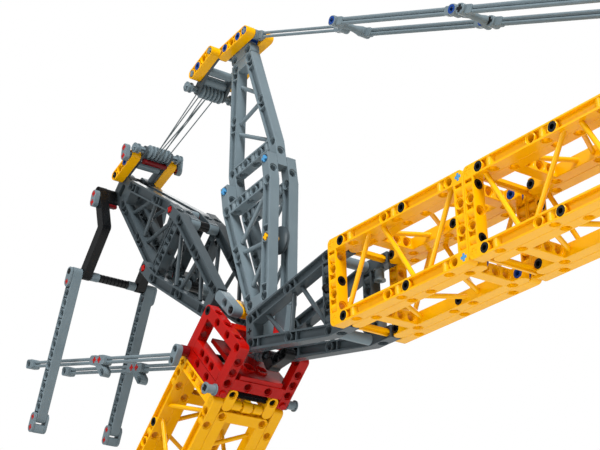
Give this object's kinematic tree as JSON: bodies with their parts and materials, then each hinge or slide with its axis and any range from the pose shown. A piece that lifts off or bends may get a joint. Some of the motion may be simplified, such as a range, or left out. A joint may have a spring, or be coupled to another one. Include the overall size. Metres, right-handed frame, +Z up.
{
  "type": "boom head with masts and luffing jib of a toy crawler crane",
  "caption": "Toy crane boom head in studless lattice pieces: red head on a yellow boom section, two grey masts with tackle blocks, and a yellow luffing jib with stays.",
  "frame": {"origin": "middle of the lower end of the boom section, halfway between its two corner bores, where it pins to the rest of the boom", "axes": "+X along the jib towards its head, +Y to the crane's left side, +Z up"},
  "size_m": [0.8082, 0.0768, 0.355],
  "materials": {
    "yellow_abs": "glossy moulded ABS",
    "red_abs": "glossy moulded ABS",
    "dark_grey_abs": "glossy moulded ABS",
    "light_grey_abs": "glossy moulded ABS",
    "black_abs": "glossy moulded ABS",
    "red_axle_abs": "glossy moulded ABS",
    "pale_blue_abs": "glossy moulded ABS"
  },
  "bodies": {
    "boom": {"boom_side_right": "yellow_abs", "boom_side_left": "yellow_abs", "boom_panels": "yellow_abs", "head_side_right": "red_abs", "head_side_left": "red_abs", "head_beams": "red_abs", "head_panel": "red_abs", "pivot_lug": "red_abs", "boom_ears": "yellow_abs", "boom_axles": "black_abs", "head_bushes": "light_grey_abs"},
    "jib": {"jib_foot_right": "dark_grey_abs", "jib_foot_left": "dark_grey_abs", "jib_foot_ties": "light_grey_abs", "jib1_side_right": "yellow_abs", "jib1_side_left": "yellow_abs", "jib1_panels": "yellow_abs", "jib2_side_right": "yellow_abs", "jib2_side_left": "yellow_abs", "jib2_panels": "yellow_abs", "jib3_side_right": "yellow_abs", "jib3_side_left": "yellow_abs", "jib3_panels": "yellow_abs", "jib_head": "dark_grey_abs", "jib_head_axles": "black_abs", "jib_section_axles": "pale_blue_abs"},
    "jib_head_sheave": {"jib_head_sheave": "light_grey_abs"},
    "front_mast": {"front_mast_low_right": "light_grey_abs", "front_mast_low_left": "light_grey_abs", "front_mast_high": "light_grey_abs", "front_mast_axles": "black_abs", "front_mast_cap": "light_grey_abs", "mast_arms": "yellow_abs", "jib_stay_rods": "light_grey_abs", "jib_stay_links": "dark_grey_abs"},
    "guide_pulley": {"guide_pulley": "dark_grey_abs"},
    "upper_block": {"upper_block_arms": "yellow_abs", "upper_block_plates": "dark_grey_abs"},
    "upper_sheaves": {"upper_block_sheaves": "light_grey_abs"},
    "rear_mast": {"rear_mast_low_right": "dark_grey_abs", "rear_mast_low_left": "dark_grey_abs", "rear_mast_high_right": "dark_grey_abs", "rear_mast_high_left": "dark_grey_abs", "rear_mast_feet": "light_grey_abs", "rear_mast_spacers": "yellow_abs", "rear_mast_axles": "red_axle_abs", "rear_mast_tip": "light_grey_abs", "rear_mast_tip_axles": "black_abs"},
    "lower_block": {"lower_block_arms": "yellow_abs", "lower_block_plates": "dark_grey_abs"},
    "lower_sheaves": {"lower_block_sheaves": "light_grey_abs"},
    "back_links": {"back_links": "black_abs", "back_axle": "black_abs", "back_tubes": "light_grey_abs"},
    "backstay_right": {"backstay_beam_right": "light_grey_abs"},
    "backstay_left": {"backstay_beam_left": "light_grey_abs"},
    "pendant_right": {"pendant_rods_right": "light_grey_abs", "pendant_links_right": "dark_grey_abs"},
    "pendant_left": {"pendant_rods_left": "light_grey_abs", "pendant_links_left": "dark_grey_abs"}
  },
  "joints": [
    {"name": "jib_luff", "type": "hinge", "parent": "boom", "child": "jib", "pos_m": [0.13278, 0, 0.09523], "axis": [0, -1, 0], "range_deg": [-25, 3]},
    {"name": "front_mast_luff", "type": "hinge", "parent": "boom", "child": "front_mast", "pos_m": [0.13278, 0, 0.09523], "axis": [0, -1, 0], "range_deg": [-25, 3]},
    {"name": "rear_mast_lean", "type": "hinge", "parent": "boom", "child": "rear_mast", "pos_m": [0.1116, 0, 0.11685], "axis": [0, -1, 0], "range_deg": [-3, 12]},
    {"name": "upper_block_swing", "type": "hinge", "parent": "front_mast", "child": "upper_block", "pos_m": [0.08863, 0, 0.32355], "axis": [0, -1, 0], "range_deg": [-20, 20]},
    {"name": "upper_sheaves_spin", "type": "hinge", "parent": "upper_block", "child": "upper_sheaves", "pos_m": [0.06067, 0, 0.30687], "axis": [0, -1, 0], "continuous": true},
    {"name": "lower_block_swing", "type": "hinge", "parent": "rear_mast", "child": "lower_block", "pos_m": [-0.04012, 0, 0.27616], "axis": [0, -1, 0], "range_deg": [-20, 20]},
    {"name": "lower_sheaves_spin", "type": "hinge", "parent": "lower_block", "child": "lower_sheaves", "pos_m": [-0.01009, 0, 0.28722], "axis": [0, -1, 0], "continuous": true},
    {"name": "back_links_swing", "type": "hinge", "parent": "rear_mast", "child": "back_links", "pos_m": [-0.0517, 0, 0.26513], "axis": [0, -1, 0], "range_deg": [-15, 15]},
    {"name": "backstay_right_swing", "type": "hinge", "parent": "back_links", "child": "backstay_right", "pos_m": [-0.07236, -0.032, 0.20399], "axis": [0, -1, 0], "range_deg": [-20, 20]},
    {"name": "backstay_left_swing", "type": "hinge", "parent": "back_links", "child": "backstay_left", "pos_m": [-0.07236, 0.032, 0.20399], "axis": [0, -1, 0], "range_deg": [-20, 20]},
    {"name": "pendant_right_swing", "type": "hinge", "parent": "boom", "child": "pendant_right", "pos_m": [0.07312, -0.016, 0.09813], "axis": [0, -1, 0], "range_deg": [-15, 12]},
    {"name": "pendant_left_swing", "type": "hinge", "parent": "boom", "child": "pendant_left", "pos_m": [0.07312, 0.016, 0.09813], "axis": [0, -1, 0], "range_deg": [-15, 12]},
    {"name": "guide_pulley_spin", "type": "hinge", "parent": "front_mast", "child": "guide_pulley", "pos_m": [0.14087, 0, 0.1607], "axis": [0, -1, 0], "continuous": true},
    {"name": "jib_head_sheave_spin", "type": "hinge", "parent": "jib", "child": "jib_head_sheave", "pos_m": [0.62079, 0, 0.10323], "axis": [0, -1, 0], "continuous": true}
  ],
  "couplings": [
    {"joint": "front_mast_luff", "follows": "jib_luff", "ratio": 1}
  ]
}
